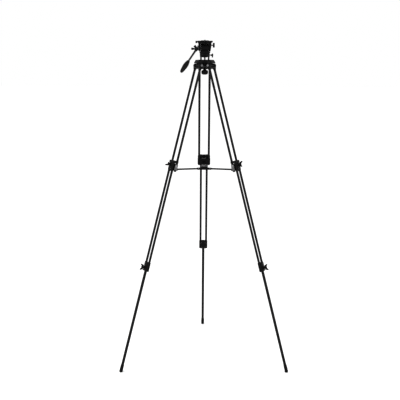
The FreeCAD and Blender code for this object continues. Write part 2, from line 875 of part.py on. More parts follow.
def crown_level():
    """A round bubble vial sunk in the top of the crown."""
    top = d.crown_top + d.vial_proud
    return cylinder(d.vial_radius, top - d.vial_height, top, vial_place())


def half_ball():
    cap = common(
        ball(d.ball_radius, (0, 0, d.ball_centre)),
        cylinder(d.ball_rim_radius, d.ball_bottom, d.ball_top),
    )
    hole = cylinder(d.stud_radius + d.snug, d.ball_bottom - 1, d.stud_top + d.apart)
    return cut(cap, [hole])


def spherical_washer():
    """A cupped washer with a slot, so that the stud can lean across it."""
    outer = d.seat_radius + d.apart + d.washer_thickness
    shell = cut(ball(outer, (0, 0, d.ball_centre)), [ball(d.seat_radius + d.apart, (0, 0, d.ball_centre))])
    low = d.ball_centre - outer - 1
    cup = common(shell, cylinder(d.washer_radius, low, low + 12))
    slot_radius = d.stud_radius + 0.4
    slot = fuse([
        box(d.washer_slot_half * 2, slot_radius * 2, 16, (0, 0, low + 6)),
        cylinder(slot_radius, low - 2, low + 14, (d.washer_slot_half, 0)),
        cylinder(slot_radius, low - 2, low + 14, (-d.washer_slot_half, 0)),
    ])
    return cut(cup, [slot])


def bowl_knob():
    cup = turned(
        [
            (0, d.knob_bottom),
            (d.knob_radius * 0.6, d.knob_bottom + 1),
            (d.knob_radius, d.knob_bottom + 11),
            (d.knob_radius, d.knob_top - 8),
            (d.knob_radius - 4, d.knob_top - 5),
            (d.knob_neck_radius + 2, d.knob_top - 4),
            (d.knob_neck_radius, d.knob_top),
            (d.knob_neck_radius, d.knob_neck_top),
            (0, d.knob_neck_top),
        ],
        {1: (d.knob_radius * 0.92, d.knob_bottom + 5)},
    )
    lobes = []
    for number in range(6):
        lobe = cylinder(d.knob_lobe_radius, d.knob_bottom + 8, d.knob_top - 4,
                        (d.knob_lobe_reach, 0))
        lobes.append(turned_about_axis(lobe, number * 60 + 30))
    thread = cylinder(d.stud_radius + d.running, d.stud_end - 1, d.knob_neck_top + 1)
    return cut(fuse([cup] + lobes), [thread])


# -------------------------------------------------------------------------- head


def pan_base():
    disc = turned([
        (0, d.ball_top),
        (d.ball_rim_radius, d.ball_top),
        (d.pan_radius, d.ball_top + 2.5),
        (d.pan_radius, d.pan_base_top - 1),
        (d.pan_radius - 1, d.pan_base_top),
        (0, d.pan_base_top),
    ])
    shaft_hole = cylinder(d.pan_shaft_radius + d.running, d.pan_shaft_bottom - d.apart,
                          d.pan_base_top + 1)
    lock_hole = cylinder(d.pan_lock_stem_radius + d.running, d.pan_lock_inner - d.apart,
                         d.pan_radius + 1, (0, d.pan_lock_height), "x")
    return cut(disc, [shaft_hole, lock_hole])


def pan_lock_knob():
    """A small winged screw, drawn along X from its tip; the longer wing hangs down."""
    height = d.pan_lock_height
    stem_end = d.pan_radius + 10
    solids = [
        cylinder(d.pan_lock_stem_radius, d.pan_lock_inner, stem_end, (0, height), "x"),
        cylinder(d.pan_lock_stem_radius + 1.8, stem_end - 5, stem_end + 1, (0, height), "x"),
        cylinder(d.pan_lock_stem_radius + 2.8, stem_end, stem_end + 8, (0, height), "x"),
        soft_box(6, 4.4, 9, (stem_end + 5, 0, height + 3.5), 1.5),
        soft_box(6, 4.4, 13, (stem_end + 4, 0, height - 6), 1.5),
    ]
    return fuse(solids)


def pan_housing():
    """The part that turns: a flange, a neck and the drum round the tilt axis."""
    bottom = d.pan_base_top + d.apart
    neck_height = d.tilt_height - bottom - 3
    flange = turned([
        (0, bottom),
        (d.pan_radius, bottom),
        (d.flange_radius, d.flange_top - 2),
        (d.flange_radius - 2, d.flange_top),
        (0, d.flange_top),
    ])
    solids = [
        flange,
        box(d.drum_half_length * 2, d.cheek_half_depth * 2, neck_height,
            (0, 0, bottom + 3 + neck_height / 2)),
        cylinder(d.drum_radius, -d.drum_half_length, d.drum_half_length, (0, d.tilt_height), "x"),
    ]
    holes = [
        cylinder(d.drum_cavity_radius, -d.drum_cavity_half, d.drum_cavity_half,
                 (0, d.tilt_height), "x"),
        cylinder(d.tilt_shaft_radius + d.snug, -d.drum_half_length - 1, d.drum_half_length + 1,
                 (0, d.tilt_height), "x"),
        cylinder(d.pan_shaft_radius + d.snug, bottom - 1, d.pan_shaft_top + d.apart),
    ]
    return cut(fuse(solids), holes)


def head_shafts():
    """The pan shaft and the tilt shaft."""
    return group([
        cylinder(d.pan_shaft_radius, d.pan_shaft_bottom, d.pan_shaft_top),
        cylinder(d.tilt_shaft_radius, -d.tilt_shaft_half, d.tilt_shaft_half,
                 (0, d.tilt_height), "x"),
    ])


def drag_discs():
    discs = []
    for number in range(3):
        start = d.disc_step * number + 2.5
        disc = cylinder(d.disc_radius, start, start + d.disc_thickness, (0, d.tilt_height), "x")
        hole = cylinder(d.tilt_shaft_radius + d.apart, start - 1, start + d.disc_thickness + 1,
                        (0, d.tilt_height), "x")
        discs.append(cut(disc, [hole]))
    return group(discs)


def counterbalance_spring():
    """A coil of square wire about the tilt shaft."""
    helix = doc.addObject("Part::Helix", "coil_line")
    bind(helix, "Radius", d.spring_radius)
    bind(helix, "Pitch", d.spring_pitch)
    bind(helix, "Height", d.spring_length)
    helix.SegmentLength = 0.5
    wire = doc.addObject("Part::RegularPolygon", "coil_section")
    wire.Polygon = 4
    bind(wire, "Circumradius", d.spring_wire_radius)
    put(wire, (d.spring_radius, 0, 0), TURN_TO_AXIS["y"])
    coil = doc.addObject("Part::Sweep", "coil")
    coil.Sections = [wire]
    coil.Spine = (helix, [])
    coil.Solid = True
    coil.Frenet = True
    return coil


def tilt_cradle():
    """Two cheeks that narrow downwards, a bar across them and a boss for the handle."""
    height = d.cradle_top - d.tilt_height
    width = d.cheek_outer - d.cheek_inner
    solids = [
        box(d.cheek_outer * 2, d.cradle_bar_half_depth * 2, d.cradle_top - d.cradle_bar_bottom,
            (0, 0, (d.cradle_top + d.cradle_bar_bottom) / 2)),
    ]
    for side in (-1, 1):
        middle = (d.cheek_outer + d.cheek_inner) / 2 * side
        solids.append(box(width, d.cheek_half_depth * 2, height,
                          (middle, 0, d.tilt_height + height / 2)))
        solids.append(cylinder(d.cheek_radius, middle - width / 2, middle + width / 2,
                               (0, d.tilt_height), "x"))
    outline = plate([
        (-d.cheek_outer, d.cradle_top),
        (-d.cheek_outer, d.cheek_taper_top),
        (-d.cheek_foot_half, d.cheek_taper_bottom),
        (d.cheek_foot_half, d.cheek_taper_bottom),
        (d.cheek_outer, d.cheek_taper_top),
        (d.cheek_outer, d.cradle_top),
    ], d.cradle_bar_half_depth * 3)
    boss = cylinder(d.rosette_radius, -d.cheek_outer, -d.cheek_inner - 2, (0, d.tilt_height), "x")
    reach = d.tilt_shaft_half + d.apart
    holes = [
        cylinder(d.tilt_shaft_radius + d.running, -reach, reach, (0, d.tilt_height), "x"),
        cylinder(d.tilt_lock_stem_radius + d.running, d.tilt_lock_inner - d.apart,
                 d.cheek_outer + 1, (0, d.tilt_lock_height), "x"),
    ]
    return cut(fuse([common(fuse(solids), outline), boss]), holes)


def tilt_lock_knob():
    height = d.tilt_lock_height
    disc = cylinder(d.tilt_lock_disc_radius, d.tilt_lock_disc_start, d.tilt_lock_disc_end,
                    (0, height), "x")
    stem = cylinder(d.tilt_lock_stem_radius, d.tilt_lock_inner, d.tilt_lock_disc_start + 1,
                    (0, height), "x")
    grips = []
    for number in range(8):
        angle = math.radians(number * 45 + 22.5)
        reach = d.tilt_lock_disc_radius + 1.2
        grips.append(cylinder(2.2, d.tilt_lock_disc_start - 1, d.tilt_lock_disc_end + 1,
                              (reach * math.cos(angle), height + reach * math.sin(angle)), "x"))
    return fuse([cut(disc, grips), stem])


def top_platform():
    thickness = d.platform_top - d.cradle_top
    slab = plate([
        (-d.platform_foot_half, d.cradle_top),
        (d.platform_foot_half, d.cradle_top),
        (d.platform_half_width, d.platform_edge),
        (d.platform_half_width, d.platform_top),
        (-d.platform_half_width, d.platform_top),
        (-d.platform_half_width, d.platform_edge),
    ], d.platform_half_length * 2)
    flange_gap = d.plate_flange_top - d.channel_bottom + d.apart
    length = d.platform_half_length * 2 + 2
    holes = [
        box((d.plate_flange_half + d.apart) * 2, length, flange_gap,
            (0, 0, d.channel_bottom + flange_gap / 2)),
        box((d.plate_half_width + d.apart) * 2, length, thickness * 2,
            (0, 0, d.channel_bottom + thickness)),
        cylinder(d.lock_screw_radius - 0.5 + d.running, -d.platform_half_width - 1,
                 -d.plate_flange_half - 3, (0, d.plate_lock_height), "x"),
        box(d.catch_reach - d.catch_inner + 6, d.catch_length + d.apart * 2,
            d.catch_height + d.apart * 2,
            ((d.catch_reach + d.catch_inner) / 2, -d.catch_place, d.plate_lock_height)),
    ]
    return cut(slab, holes)


def camera_plate():
    flange_height = d.plate_flange_top - d.channel_bottom - d.apart
    flange = box(d.plate_flange_half * 2, d.plate_half_length * 2, flange_height,
                 (0, 0, d.plate_flange_top - flange_height / 2))
    top_height = d.plate_top - d.plate_flange_top + 1
    top = box(d.plate_half_width * 2, d.plate_half_length * 2, top_height,
              (0, 0, d.plate_top - top_height / 2))
    holes = [
        cylinder(d.camera_thread_radius + d.running, d.channel_bottom - 1, d.plate_top + 1),
        cylinder(d.camera_head_radius + d.apart, d.channel_bottom - 1,
                 d.camera_head_top + d.apart),
    ]
    return cut(fuse([flange, top]), holes)


def plate_pads():
    """Two rubber pads on the camera plate, each side of the screw."""
    height = d.pad_top - d.plate_top
    return group([
        box(d.pad_half_width * 2, d.pad_length, height, (0, side, d.plate_top + height / 2))
        for side in both(d.pad_offset)
    ])


def camera_screw():
    """A slotted head, a thin neck that the plate can't let go, and the thread."""
    neck = cylinder(d.camera_neck_radius, d.camera_screw_bottom, d.pad_top + 1)
    thread = cylinder(d.camera_thread_radius, d.pad_top, d.camera_thread_top)
    head = cylinder(d.camera_head_radius, d.camera_screw_bottom, d.camera_head_top)
    slot = box(d.camera_head_radius * 3, 1.2, 2, (0, 0, d.camera_screw_bottom))
    return cut(fuse([neck, thread, head]), [slot])


def plate_lock_knob():
    height = d.plate_lock_height
    stem = cylinder(d.lock_screw_radius - 0.5, -d.platform_half_width - 4,
                    -d.plate_flange_half - 3.3, (0, height), "x")
    head = cylinder(d.plate_lock_radius, -d.plate_lock_reach, -d.platform_half_width - 1.5,
                    (0, height), "x")
    return fuse([stem, head])


def safety_catch():
    length = d.catch_reach - d.catch_inner
    return soft_box(length, d.catch_length, d.catch_height,
                    ((d.catch_reach + d.catch_inner) / 2, -d.catch_place, d.plate_lock_height), 1)


# ------------------------------------------------------------------------ handle
# The handle is drawn along its own rod: Z from the root towards the grip's end.


def handle_frame():
    root = FreeCAD.Vector(d.handle_root_x.value, d.handle_root_y.value, d.handle_root_z.value)
    swing = FreeCAD.Rotation(FreeCAD.Vector(0, 0, 1), d.handle_swing.value)
    drop = FreeCAD.Rotation(FreeCAD.Vector(1, 0, 0), -90 - d.handle_drop.value)
    return FreeCAD.Placement(root, swing.multiply(drop))


def in_handle_frame(item):
    """A holder that puts an object drawn along the rod in its place."""
    holder = group([item])
    holder.Placement = handle_frame()
    return holder


def handle_socket():
    """A rosette against the left cheek, a leaning clamp bar and the rod's holder."""
    rosette_inner = -d.cheek_outer - d.apart
    disc = cylinder(d.rosette_radius, -d.rosette_outer, rosette_inner, (0, d.tilt_height), "x")
    web = box(10, 16, 16, (d.handle_root_x + 6, 0, d.tilt_height - 4))
    bar = group([box(d.clamp_bar_thickness, d.clamp_bar_width, d.clamp_bar_length, (0, 0, 0))])
    lean = FreeCAD.Rotation(FreeCAD.Vector(0, 1, 0), -d.clamp_bar_lean.value)
    bar_middle = FreeCAD.Vector(d.handle_root_x.value - 0.4, 1, d.tilt_height.value + 2)
    bar.Placement = FreeCAD.Placement(bar_middle, lean)
    holder = in_handle_frame(cylinder(d.holder_radius, -d.holder_front, d.holder_back))
    bore = in_handle_frame(
        cylinder(d.rod_radius + d.snug, -d.holder_front + 3, d.holder_back + 6)
    )
    screw_hole = cylinder(d.lock_screw_radius + d.running, -d.clamp_reach, d.apart - d.clamp_tip,
                          (d.clamp_place, d.clamp_height), "x")
    return cut(fuse([disc, web, bar, holder]), [bore, screw_hole])


def handle_clamp_knob():
    at = (d.clamp_place, d.clamp_height)
    head_end = d.clamp_knob_length - d.clamp_reach
    return fuse([
        cylinder(d.lock_screw_radius, head_end - 1, -d.clamp_tip, at, "x"),
        cylinder(d.clamp_knob_radius, -d.clamp_reach, head_end, at, "x"),
        cylinder(d.lock_screw_radius + 1.2, head_end - 1, head_end + 3, at, "x"),
    ])


def handle_rod():
    return group([cylinder(d.rod_radius, -d.holder_front + 3 + d.apart, d.rod_end)])


def handle_grip():
    """A cigar-shaped grip, thickest towards the rod."""
    start = d.grip_start
    end = d.grip_start + d.grip_length
    tip = d.grip_end_radius
    grip = turned(
        [
            (0, start),
            (d.grip_neck_radius, start),
            (d.grip_neck_radius + 0.5, start + 2),
            (d.grip_radius, start + d.grip_length * 0.36),
            (tip, end - tip),
            (tip * 0.5, end),
            (0, end),
        ],
        {
            2: (d.grip_radius - 2.0, start + d.grip_length * 0.17),
            3: (d.grip_radius - 1.9, start + d.grip_length * 0.66),
            4: (tip * 0.87, end - tip * 0.32),
        },
    )
    return cut(grip, [cylinder(d.rod_radius + d.snug, start - 1, d.rod_end + d.apart)])


# ------------------------------------------------------------------- the tripod

LOCK_TURNS = {"left": (120.0, 0.0), "right": (150.0, 0.0), "rear": (30.0, 0.0)}


def build_legs():
    for name, azimuth in LEGS.items():
        mid_turn, low_turn = LOCK_TURNS[name]
        build_leg(name, azimuth, mid_turn, low_turn)


def build_spreader():
    sub_part("spreader_hub", spreader_hub())
    sub_part("hub_rivets", hub_rivets())
    for name, azimuth in LEGS.items():
        sub_part(f"spreader_arm_{name}", spreader_arm(), arm_frame(azimuth))


def build_crown():
    sub_part("crown_casting", crown_casting())
    sub_part("leg_pivot_bolts", leg_pivot_bolts())
    sub_part("crown_level", crown_level())
    sub_part("half_ball", half_ball())
    sub_part("spherical_washer", spherical_washer())
    sub_part("tie_stud", cylinder(d.stud_radius, d.stud_end, d.stud_top))
    sub_part("bowl_knob", bowl_knob())


def build_head():
    sub_part("pan_base", pan_base())
    sub_part("pan_lock_knob", pan_lock_knob())
    sub_part("pan_housing", pan_housing())
    sub_part("head_shafts", head_shafts())
    sub_part("drag_discs", drag_discs())
    spring_place = FreeCAD.Vector(-d.drum_cavity_half.value + 1.6, 0, d.tilt_height.value)
    sub_part("counterbalance_spring", counterbalance_spring(),
             FreeCAD.Placement(spring_place, TURN_TO_AXIS["x"]))
    sub_part("tilt_cradle", tilt_cradle())
    sub_part("tilt_lock_knob", tilt_lock_knob())
    sub_part("top_platform", top_platform())
    sub_part("camera_plate", camera_plate())
    sub_part("plate_pads", plate_pads())
    sub_part("camera_screw", camera_screw())
    sub_part("plate_lock_knob", plate_lock_knob())
    sub_part("safety_catch", safety_catch())


def build_handle():
    sub_part("handle_socket", handle_socket())
    sub_part("handle_clamp_knob", handle_clamp_knob())
    sub_part("handle_rod", handle_rod(), handle_frame())
    sub_part("handle_grip", handle_grip(), handle_frame())


def check_and_write():
    """Stops on anything failed, then writes each sub-part to its own file."""
    doc.recompute()
    for item in doc.Objects:
        if "Invalid" in item.State or "Error" in item.State:
            raise RuntimeError(f"{item.Label} did not build: {item.State}")
    for item in nodes:
        if item.Shape.isNull() or not item.Shape.isValid() or item.Shape.Volume <= 0:
            raise RuntimeError(f"{item.Label} has no valid shape")
        print(f"{item.Label}: {len(item.Shape.Solids)} solids, {item.Shape.Volume:.0f} mm3")
        item.Shape.exportStep(f"parts/{item.Label}.step")
    out, up = lug_radius_and_height()
    print(f"arm pin {out.value:.3f} {up.value:.3f}, arm {arm_length().value:.3f},"
          f" hub pin height {hub_height().value:.3f}")


build_legs()
build_spreader()
build_crown()
build_head()
build_handle()
check_and_write()
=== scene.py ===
"""Looks of a video tripod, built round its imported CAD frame.  Metres, +Z up."""

import json
import math

import bmesh
import bpy
from mathutils import Matrix, Vector


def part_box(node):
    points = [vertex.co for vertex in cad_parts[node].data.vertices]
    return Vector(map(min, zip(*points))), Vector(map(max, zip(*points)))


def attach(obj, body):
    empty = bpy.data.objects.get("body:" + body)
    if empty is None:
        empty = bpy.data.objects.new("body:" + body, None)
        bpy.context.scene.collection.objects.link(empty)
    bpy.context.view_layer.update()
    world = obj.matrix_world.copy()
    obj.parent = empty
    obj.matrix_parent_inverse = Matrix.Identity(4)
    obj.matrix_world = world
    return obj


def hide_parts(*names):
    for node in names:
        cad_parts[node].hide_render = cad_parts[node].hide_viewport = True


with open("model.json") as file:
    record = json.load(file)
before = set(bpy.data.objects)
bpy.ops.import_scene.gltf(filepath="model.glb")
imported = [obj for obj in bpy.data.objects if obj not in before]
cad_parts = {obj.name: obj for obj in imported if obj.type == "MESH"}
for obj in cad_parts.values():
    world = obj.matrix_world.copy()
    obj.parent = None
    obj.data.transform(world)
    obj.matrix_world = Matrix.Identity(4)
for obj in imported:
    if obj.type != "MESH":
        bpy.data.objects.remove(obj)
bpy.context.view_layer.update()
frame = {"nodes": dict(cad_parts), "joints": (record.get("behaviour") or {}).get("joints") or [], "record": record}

MM = 0.001
LEGS = ("left", "right", "rear")
JOINT = {joint["name"]: joint for joint in frame["joints"]}
SLOT_OF = {part["node"]: part["material_slot"] for part in frame["record"]["subparts"]}
BODY_OF = {
    node: body
    for body, nodes in frame["record"]["behaviour"]["bodies"].items()
    for node in nodes
}

# ---------------------------------------------------------------- materials


class Finish:
    """A Principled material and the short steps that give it surface detail."""

    def __init__(self, name, colour, roughness, metallic=0.0, coat=0.0):
        self.material = bpy.data.materials.new(name)
        self.material.use_nodes = True
        self.tree = self.material.node_tree
        self.shader = self.tree.nodes["Principled BSDF"]
        self.colour = (*colour, 1.0)
        self.set("Base Color", self.colour)
        self.set("Roughness", roughness)
        self.set("Metallic", metallic)
        self.set("Coat Weight", coat)
        self.roughness = roughness
        self.place = self.node("ShaderNodeTexCoord").outputs["Object"]
        self.height = None

    def node(self, kind, **settings):
        made = self.tree.nodes.new(kind)
        for name, value in settings.items():
            setattr(made, name, value)
        return made

    def link(self, source, target):
        self.tree.links.new(source, target)

    def set(self, socket, value):
        self.shader.inputs[socket].default_value = value

    def noise(self, scale, detail=3.0, stretch=(1, 1, 1)):
        """A noise pattern; scale is in features per metre."""
        mapping = self.node("ShaderNodeMapping")
        mapping.inputs["Scale"].default_value = stretch
        noise = self.node("ShaderNodeTexNoise")
        noise.inputs["Scale"].default_value = scale
        noise.inputs["Detail"].default_value = detail
        self.link(self.place, mapping.inputs["Vector"])
        self.link(mapping.outputs["Vector"], noise.inputs["Vector"])
        return noise.outputs["Fac"]

    def ranged(self, source, low, high, start=0.3, end=0.7):
        """A 0 to 1 pattern as a number between low and high."""
        node = self.node("ShaderNodeMapRange")
        node.inputs["From Min"].default_value = start
        node.inputs["From Max"].default_value = end
        node.inputs["To Min"].default_value = low
        node.inputs["To Max"].default_value = high
        self.link(source, node.inputs["Value"])
        return node.outputs["Result"]

    def mottle(self, scale, darker, lighter, stretch=(1, 1, 1)):
        """Slow changes of tone across the surface."""
        mix = self.node("ShaderNodeMix", data_type="RGBA")
        mix.inputs["A"].default_value = (*[c * darker for c in self.colour[:3]], 1)
        mix.inputs["B"].default_value = (*[c * lighter for c in self.colour[:3]], 1)
        self.link(self.ranged(self.noise(scale, 4.0, stretch), 0, 1), mix.inputs["Factor"])
        self.tone = mix.outputs["Result"]
        self.link(self.tone, self.shader.inputs["Base Color"])
        return self

    def uneven_gloss(self, scale, spread):
        low, high = self.roughness - spread, self.roughness + spread
        self.link(self.ranged(self.noise(scale), low, high), self.shader.inputs["Roughness"])
        return self

    def worn_edges(self, colour, start=0.53, end=0.6):
        """Edges rubbed lighter, broken up by a fine noise."""
        geometry = self.node("ShaderNodeNewGeometry")
        edge = self.ranged(geometry.outputs["Pointiness"], 0, 1, start, end)
        broken = self.node("ShaderNodeMath", operation="MULTIPLY")
        self.link(edge, broken.inputs[0])
        self.link(self.ranged(self.noise(420), 0, 1, 0.42, 0.62), broken.inputs[1])
        mix = self.node("ShaderNodeMix", data_type="RGBA")
        mix.inputs["B"].default_value = (*colour, 1)
        self.link(broken.outputs["Value"], mix.inputs["Factor"])
        self.link(self.tone, mix.inputs["A"])
        self.link(mix.outputs["Result"], self.shader.inputs["Base Color"])
        return self

    def grain(self, scale, depth, detail=2.0, stretch=(1, 1, 1)):
        """Fine relief, depth in metres; several grains add up."""
        bump = self.node("ShaderNodeBump")
        bump.inputs["Strength"].default_value = 1.0
        bump.inputs["Distance"].default_value = depth
        self.link(self.noise(scale, detail, stretch), bump.inputs["Height"])
        if self.height is not None:
            self.link(self.height, bump.inputs["Normal"])
        self.height = bump.outputs["Normal"]
        self.link(self.height, self.shader.inputs["Normal"])
        return self


def made_materials():
    tube = Finish("satin_black_tube", (0.005, 0.005, 0.0052), 0.34)
    tube.set("Specular IOR Level", 0.12)
    tube.mottle(9, 0.75, 1.35).worn_edges((0.012, 0.012, 0.0125)).uneven_gloss(60, 0.06)
    tube.grain(2600, 0.000006).grain(240, 0.00001)
    casting = Finish("black_powder_coat", (0.0045, 0.0045, 0.0047), 0.46)
    casting.set("Specular IOR Level", 0.1)
    casting.mottle(45, 0.7, 1.4).worn_edges((0.018, 0.018, 0.0185)).uneven_gloss(160, 0.07)
    casting.grain(1500, 0.00006, 3.0).grain(300, 0.00004)
    moulded = Finish("black_moulded_nylon", (0.0045, 0.0045, 0.0047), 0.48)
    moulded.set("Specular IOR Level", 0.1)
    moulded.mottle(60, 0.75, 1.4).worn_edges((0.015, 0.015, 0.0155)).uneven_gloss(220, 0.06)
    moulded.grain(2200, 0.00003, 2.0)
    knob = Finish("soft_touch_black", (0.0045, 0.0045, 0.0047), 0.56)
    knob.set("Specular IOR Level", 0.1)
    knob.mottle(80, 0.75, 1.4).worn_edges((0.014, 0.014, 0.014)).uneven_gloss(300, 0.06)
    knob.grain(2600, 0.00003, 2.0)
    rubber = Finish("black_rubber", (0.005, 0.005, 0.005), 0.7)
    rubber.set("Specular IOR Level", 0.12)
    rubber.mottle(70, 0.7, 1.5).worn_edges((0.012, 0.012, 0.012)).uneven_gloss(200, 0.08)
    rubber.grain(1800, 0.00005, 4.0)
    steel = Finish("turned_steel", (0.4, 0.4, 0.41), 0.28, 1.0)
    steel.mottle(120, 0.8, 1.1).uneven_gloss(400, 0.07).grain(3000, 0.00001)
    dark_steel = Finish("blackened_steel", (0.1, 0.1, 0.102), 0.4, 0.8)
    dark_steel.mottle(120, 0.7, 1.4).worn_edges((0.16, 0.16, 0.17), 0.55, 0.64)
    dark_steel.uneven_gloss(300, 0.08)
    brass = Finish("friction_brass", (0.55, 0.4, 0.16), 0.35, 1.0)
    brass.mottle(150, 0.8, 1.15).uneven_gloss(350, 0.08)
    vial = Finish("vial_liquid", (0.16, 0.2, 0.05), 0.08, 0.0, 0.5)
    vial.mottle(200, 0.9, 1.1)
    return {
        "tube_paint": tube.material,
        "casting": casting.material,
        "moulded": moulded.material,
        "knob": knob.material,
        "rubber": rubber.material,
        "steel": steel.material,
        "dark_steel": dark_steel.material,
        "brass": brass.material,
        "vial": vial.material,
    }


MATERIAL = made_materials()

# ------------------------------------------------------------ making pieces


def place_piece(name, mesh, body, slot, matrix=None, stands_for=()):
    """Makes an object of a mesh, in its finish, riding on a body."""
    if matrix is not None:
        mesh.transform(matrix)
    mesh.materials.clear()
    mesh.materials.append(MATERIAL[slot])
    piece = bpy.data.objects.new(name, mesh)
    bpy.context.scene.collection.objects.link(piece)
    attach(piece, body)
    if stands_for:
        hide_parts(*stands_for)
    return piece


def mesh_of(bm, sharp_angle=35):
    """A bmesh as a mesh, smooth except at edges sharper than an angle in degrees."""
    bmesh.ops.recalc_face_normals(bm, faces=bm.faces)
    mesh = bpy.data.meshes.new("mesh")
    bm.to_mesh(mesh)
    bm.free()
    shade(mesh, sharp_angle)
    return mesh


def shade(mesh, sharp_angle):
    mesh.shade_smooth()
    mesh.set_sharp_from_angle(angle=math.radians(sharp_angle))


def bevelled(bm, width, segments=2, angle=28):
    """Rounds the edges of a bmesh that turn by more than an angle in degrees."""
    limit = math.radians(angle)
    edges = [e for e in bm.edges if e.is_manifold and e.calc_face_angle(0) > limit]
    bmesh.ops.bevel(bm, geom=edges, offset=width, segments=segments, profile=0.5,
                    affect="EDGES", clamp_overlap=True)
    return bm


def softened(node, width, segments=2):
    """The CAD node's own shape with its sharp edges rounded, in place of the node."""
    bm = bmesh.new()
    bm.from_mesh(frame["nodes"][node].data)
    bmesh.ops.remove_doubles(bm, verts=bm.verts, dist=0.002 * MM)
    bmesh.ops.dissolve_limit(bm, angle_limit=math.radians(0.6), verts=bm.verts, edges=bm.edges)
    bevelled(bm, width, segments)
    bmesh.ops.triangulate(bm, faces=[f for f in bm.faces if len(f.verts) > 4])
    mesh = mesh_of(bm, 40)
    return place_piece(f"{node}_fine", mesh, BODY_OF[node], SLOT_OF[node], stands_for=[node])


def lathe(profile, segments=48, corner=0.0):
    """A solid turned about Z from (radius, height) points, its corners rounded."""
    points = rounded_corners(profile, corner) if corner else profile
    bm = bmesh.new()
    rings = []
    for radius, height in points:
        if radius < 1e-7:
            rings.append([bm.verts.new((0, 0, height))])
            continue
        ring = []
        for number in range(segments):
            angle = math.tau * number / segments
            ring.append(bm.verts.new((radius * math.cos(angle), radius * math.sin(angle), height)))
        rings.append(ring)
    join_rings(bm, rings)
    return bm


def join_rings(bm, rings):
    """Faces between neighbouring rings; a ring of one point closes an end."""
    for lower, upper in zip(rings, rings[1:]):
        count = max(len(lower), len(upper))
        for number in range(count):
            following = (number + 1) % count
            if len(lower) == 1:
                bm.faces.new((lower[0], upper[number], upper[following]))
            elif len(upper) == 1:
                bm.faces.new((lower[number], lower[following], upper[0]))
            else:
                corners = (lower[number], lower[following], upper[following], upper[number])
                bm.faces.new(corners)


def rounded_corners(points, radius, steps=3):
    """The same line with each inner corner replaced by a short curve."""
    rounded = [points[0]]
    for before, corner, after in zip(points, points[1:], points[2:]):
        here = Vector(corner)
        to_before, to_after = Vector(before) - here, Vector(after) - here
        reach = min(radius, 0.45 * to_before.length, 0.45 * to_after.length)
        start = here + to_before.normalized() * reach
        end = here + to_after.normalized() * reach
        for step in range(steps + 1):
            t = step / steps
            point = start * (1 - t) ** 2 + here * 2 * t * (1 - t) + end * t ** 2
            rounded.append(tuple(point))
    rounded.append(points[-1])
    return rounded


def block(size, bevel, segments=3):
    """A box about the origin with rounded edges."""
    bm = bmesh.new()
    bmesh.ops.create_cube(bm, size=1.0)
    bmesh.ops.scale(bm, vec=size, verts=bm.verts)
    bmesh.ops.bevel(bm, geom=bm.edges, offset=bevel, segments=segments, profile=0.5,
                    affect="EDGES", clamp_overlap=True)
    return bm


def socket_screw(radius, height):
    """A cap screw's head: its seat at the origin, a hexagonal recess in its top."""
    segments = 24
    recess = radius * 0.52
    bm = bmesh.new()
    rings = []
    for ring_radius, level in ((radius, 0), (radius, height * 0.86), (radius * 0.9, height)):
        rings.append([
            bm.verts.new((ring_radius * math.cos(math.tau * i / segments),
                          ring_radius * math.sin(math.tau * i / segments), level))
            for i in range(segments)
        ])
    for level in (height, height * 0.35):
        ring = []
        for i in range(segments):
            angle = math.tau * i / segments
            within = (angle % (math.tau / 6)) - math.tau / 12
            reach = recess * math.cos(math.tau / 12) / math.cos(within)
            ring.append(bm.verts.new((reach * math.cos(angle), reach * math.sin(angle), level)))
        rings.append(ring)
    join_rings(bm, rings)
    bm.faces.new(rings[-1])
    bm.faces.new(list(reversed(rings[0])))
    return bm


def facing(point, direction, spin=0.0):
    """A matrix that takes +Z to a direction at a point."""
    turn = Vector((0, 0, 1)).rotation_difference(Vector(direction)).to_matrix().to_4x4()
    return Matrix.Translation(Vector(point)) @ turn @ Matrix.Rotation(spin, 4, "Z")


def add_screw(name, radius, height, point, direction, body, spin=0.0):
    mesh = mesh_of(socket_screw(radius, height), 30)
    return place_piece(name, mesh, body, "dark_steel", facing(point, direction, spin))


# ------------------------------------------------------------------ leg frames


def leg_matrix(leg):
    """A leg's own frame: pivot at the origin, +X outwards, +Z up along the tubes."""
    up = Vector(JOINT[f"leg_{leg}_second_slide"]["axis"]).normalized()
    along = Vector(JOINT[f"leg_{leg}_fold"]["axis"]).normalized()
    matrix = Matrix((along.cross(up), along, up)).transposed().to_4x4()
    matrix.translation = Vector(JOINT[f"leg_{leg}_fold"]["pos_m"])
    return matrix


def span(node, matrix):
    """A node's lowest and highest corner, measured in another frame."""
    inverse = matrix.inverted()
    points = [inverse @ vertex.co for vertex in frame["nodes"][node].data.vertices]
    low = Vector([min(p[i] for p in points) for i in range(3)])
    high = Vector([max(p[i] for p in points) for i in range(3)])
    return low, high


# ------------------------------------------------------------------------ legs

COLLAR_INNER_FACE = -7 * MM
COLLAR_COVER = (17 * MM, 1.6 * MM, 31 * MM)
# Size of the lighter steel top plate, a painted highlight on the upper collar's top face.
COLLAR_HIGHLIGHT_PLATE = (10 * MM, 27 * MM, 1.4 * MM)


def leg_details(leg):
    matrix = leg_matrix(leg)
    tube_plugs(leg, matrix)
    collar_details(leg, matrix)
    yoke_details(leg, matrix)
    foot_rings(leg, matrix)


def tube_plugs(leg, matrix):
    """Domed plugs in the open lower ends of the upper tubes."""
    low, high = span(f"leg_{leg}_upper_tubes", matrix)
    radius = (high.x - low.x) / 2
    for side, y in (("a", low.y + radius), ("b", high.y - radius)):
        profile = [(0, -1.6 * MM), (radius * 0.7, -1.2 * MM), (radius * 0.94, -0.2 * MM),
                   (radius * 0.94, 0.4 * MM), (radius * 0.76, 0.4 * MM), (radius * 0.76, 9 * MM),
                   (0, 9 * MM)]
        mesh = mesh_of(lathe(profile, 32, 0.4 * MM))
        place = matrix @ Matrix.Translation((0, y, low.z))
        place_piece(f"leg_{leg}_tube_plug_{side}", mesh, f"leg_{leg}", "moulded", place)


